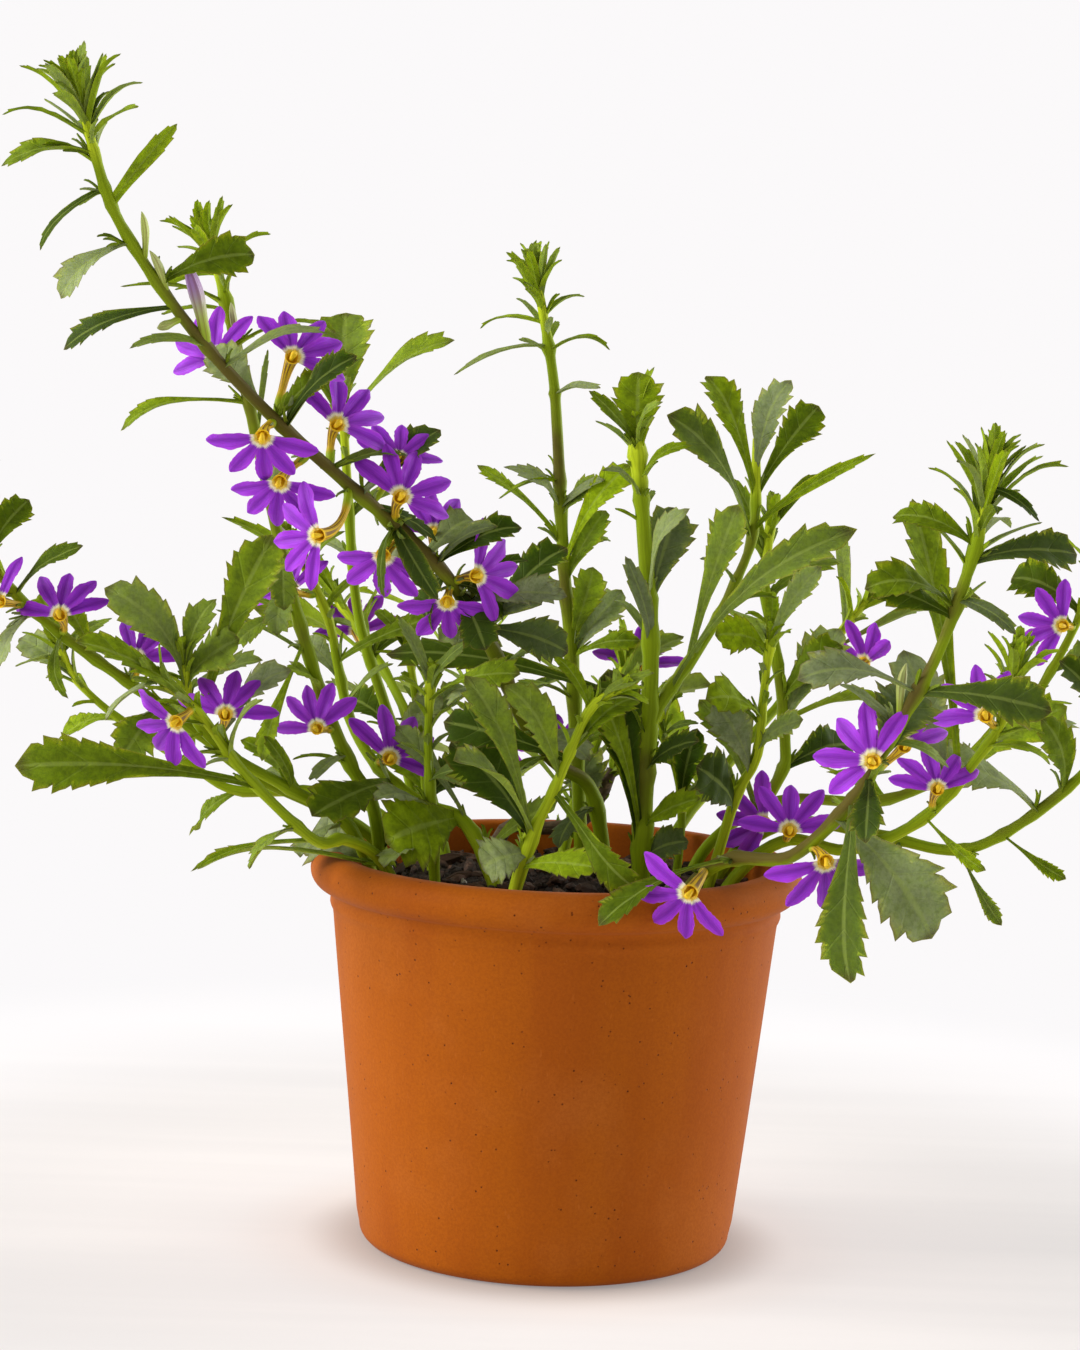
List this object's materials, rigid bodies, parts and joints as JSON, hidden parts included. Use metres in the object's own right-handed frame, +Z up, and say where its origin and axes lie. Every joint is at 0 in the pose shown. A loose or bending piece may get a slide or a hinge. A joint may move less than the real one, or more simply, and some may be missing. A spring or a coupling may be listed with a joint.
{
  "type": "potted fan flower",
  "caption": "Terracotta flowerpot filled with soil, with sprawling leafy stems, toothed leaves and one-sided violet fan blooms.",
  "frame": {"origin": "middle of the pot's flat underside, on the surface that it stands on", "axes": "+Z up along the pot's axis, -Y towards the front, +X to the right as seen from the front"},
  "size_m": [0.3336, 0.2905, 0.3059],
  "materials": {
    "terracotta": "matte",
    "soil": "matte",
    "leaf": "satin",
    "bark": "matte",
    "petal": "satin"
  },
  "bodies": {
    "root": {"bloom_01": "petal", "bloom_02": "petal", "bloom_03": "petal", "bloom_04": "petal", "bloom_05": "petal", "bloom_06": "petal", "bloom_07": "petal", "bloom_08": "petal", "bloom_09": "petal", "bloom_10": "petal", "bloom_11": "petal", "bloom_12": "petal", "bloom_13": "petal", "bloom_14": "petal", "bloom_15": "petal", "bloom_16": "petal", "bloom_17": "petal", "bloom_18": "petal", "bloom_19": "petal", "bloom_20": "petal", "bloom_21": "petal", "bloom_22": "petal", "bloom_23": "petal", "bloom_24": "petal", "bloom_25": "petal", "bloom_26": "petal", "bloom_27": "petal", "bloom_28": "petal", "bloom_29": "petal", "bloom_30": "petal", "bloom_31": "petal", "bloom_32": "petal", "bloom_33": "petal", "pot": "terracotta", "soil": "soil", "stem_back_centre": "leaf", "stem_back_left": "leaf", "stem_back_right": "leaf", "stem_back_right_far": "leaf", "stem_back_trailing": "leaf", "stem_centre_front": "leaf", "stem_green_shoot": "leaf", "stem_left_back": "leaf", "stem_left_front": "leaf", "stem_left_inner": "leaf", "stem_left_inner_back": "leaf", "stem_left_middle": "leaf", "stem_left_trailing": "leaf", "stem_long_front": "leaf", "stem_old_wood": "bark", "stem_right_back": "leaf", "stem_right_front": "leaf", "stem_right_low": "leaf", "stem_right_trailing": "leaf", "stem_short_back": "leaf", "stem_short_front": "leaf", "stem_tall_left": "leaf", "stem_thick_front": "leaf", "stem_thin_centre": "leaf", "stem_upright_middle": "leaf"}
  },
  "joints": []
}
